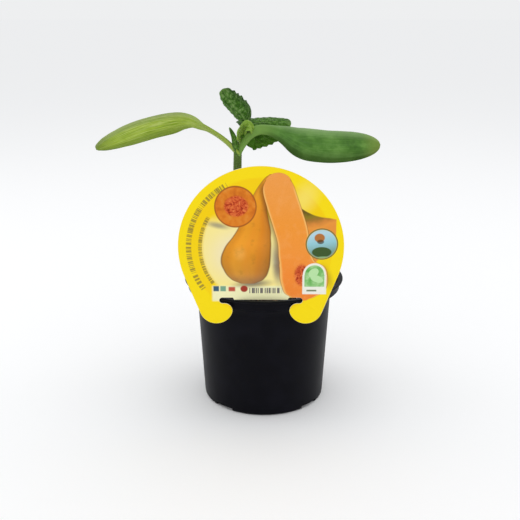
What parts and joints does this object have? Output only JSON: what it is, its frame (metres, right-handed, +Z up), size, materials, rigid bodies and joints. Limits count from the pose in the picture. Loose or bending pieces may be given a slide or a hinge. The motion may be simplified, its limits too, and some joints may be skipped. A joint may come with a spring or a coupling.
{
  "type": "potted squash seedling",
  "caption": "Young squash plant with spreading seed leaves and first true leaves, in a round black nursery pot with a round picture label hooked over its rim.",
  "frame": {"origin": "middle of the pot's base, on the surface that it stands on", "axes": "+Z up along the pot's axis, -Y towards the side that the label faces, X along the spread of the seed leaves"},
  "size_m": [0.1798, 0.105, 0.2038],
  "materials": {
    "pot_plastic": "satin",
    "potting_mix": "matte",
    "label_plastic": "satin",
    "root": "matte",
    "stem_green": "satin",
    "seed_leaf_green": "satin",
    "true_leaf_green": "matte",
    "bud_green": "matte"
  },
  "bodies": {
    "root": {"nursery_pot": "pot_plastic", "potting_mix": "potting_mix", "picture_label": "label_plastic", "taproot": "root", "stem": "stem_green", "epicotyl": "stem_green", "seed_leaf_left": "seed_leaf_green", "seed_leaf_right": "seed_leaf_green", "true_leaf_upright": "true_leaf_green", "true_leaf_spreading": "true_leaf_green", "bud_leaf": "bud_green", "bud_leaf_inner": "bud_green", "axil_leaf": "bud_green"}
  },
  "joints": []
}
